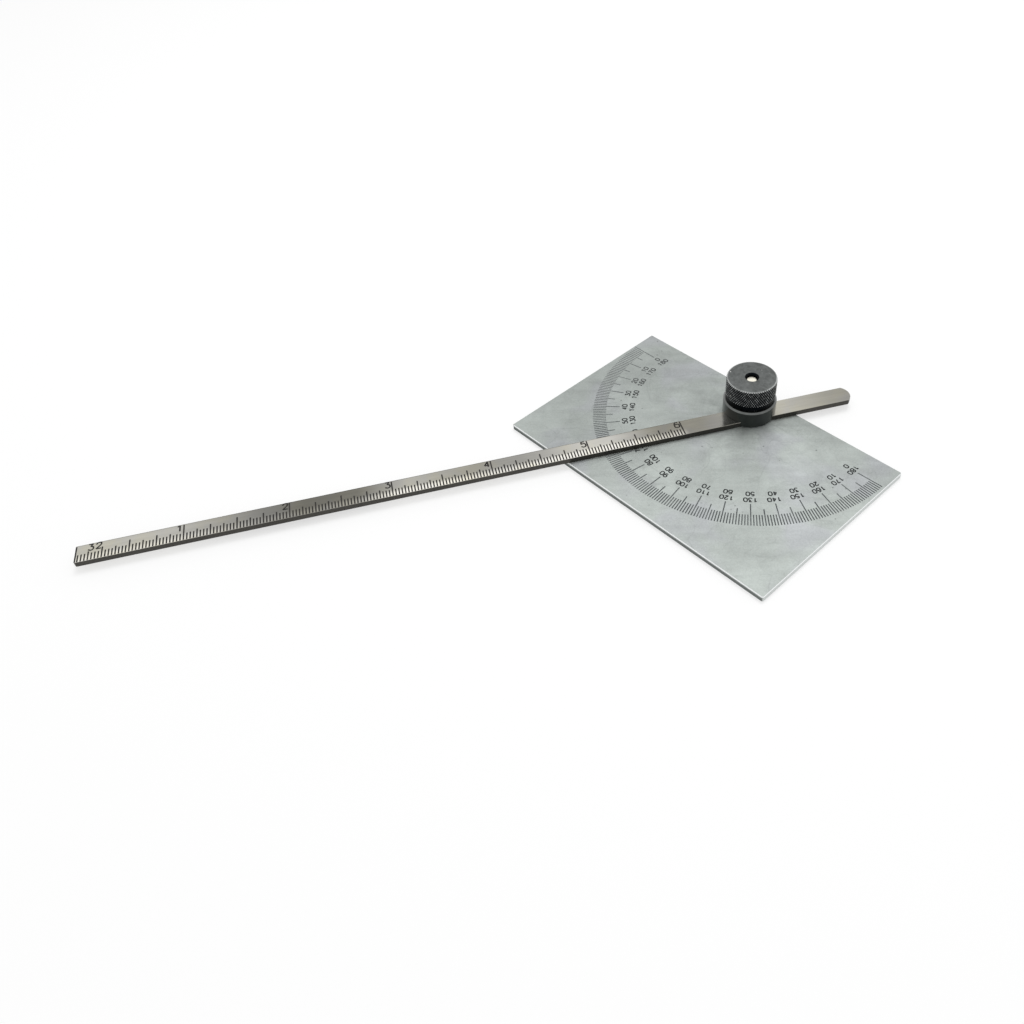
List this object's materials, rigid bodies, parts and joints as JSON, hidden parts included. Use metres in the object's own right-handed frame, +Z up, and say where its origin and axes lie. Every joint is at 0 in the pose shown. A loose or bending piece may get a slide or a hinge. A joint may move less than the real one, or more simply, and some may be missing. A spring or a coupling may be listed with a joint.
{
  "type": "bevel protractor",
  "caption": "Flat rectangular steel protractor head with a swivelling slotted turret that holds a narrow sliding rule under a knurled thumb nut.",
  "frame": {"origin": "on the pivot axis, in the plane of the plate's underside, at the middle of the stud's flush head", "axes": "+Z up out of the graduated face along the pivot axis, +X along the plate's long edges, +Y from the pivot across the scale"},
  "size_m": [0.1271, 0.1753, 0.0131],
  "materials": {
    "plate_steel": "fine ground steel, satin, slightly stained",
    "rule_steel": "lengthwise brushed spring steel, lightly tarnished",
    "blackened_steel": "black oxide, worn bright on the rims",
    "stud_steel": "plain turned steel"
  },
  "bodies": {
    "head": {"protractor_plate": "plate_steel"},
    "swivel": {"turret": "blackened_steel", "pivot_stud": "stud_steel"},
    "blade": {"rule": "rule_steel"},
    "clamp": {"thumb_nut": "blackened_steel"}
  },
  "joints": [
    {"name": "swivel_turn", "type": "hinge", "parent": "head", "child": "swivel", "pos_m": [0, 0, 0], "axis": [0, 0, 1], "continuous": true},
    {"name": "rule_slide", "type": "slide", "parent": "swivel", "child": "blade", "axis": [0.4924, 0.8704, 0], "range_m": [-0.158, 0.018]},
    {"name": "nut_turn", "type": "hinge", "parent": "swivel", "child": "clamp", "pos_m": [0, 0, 0.01], "axis": [0, 0, 1], "range_deg": [0, 360]}
  ]
}
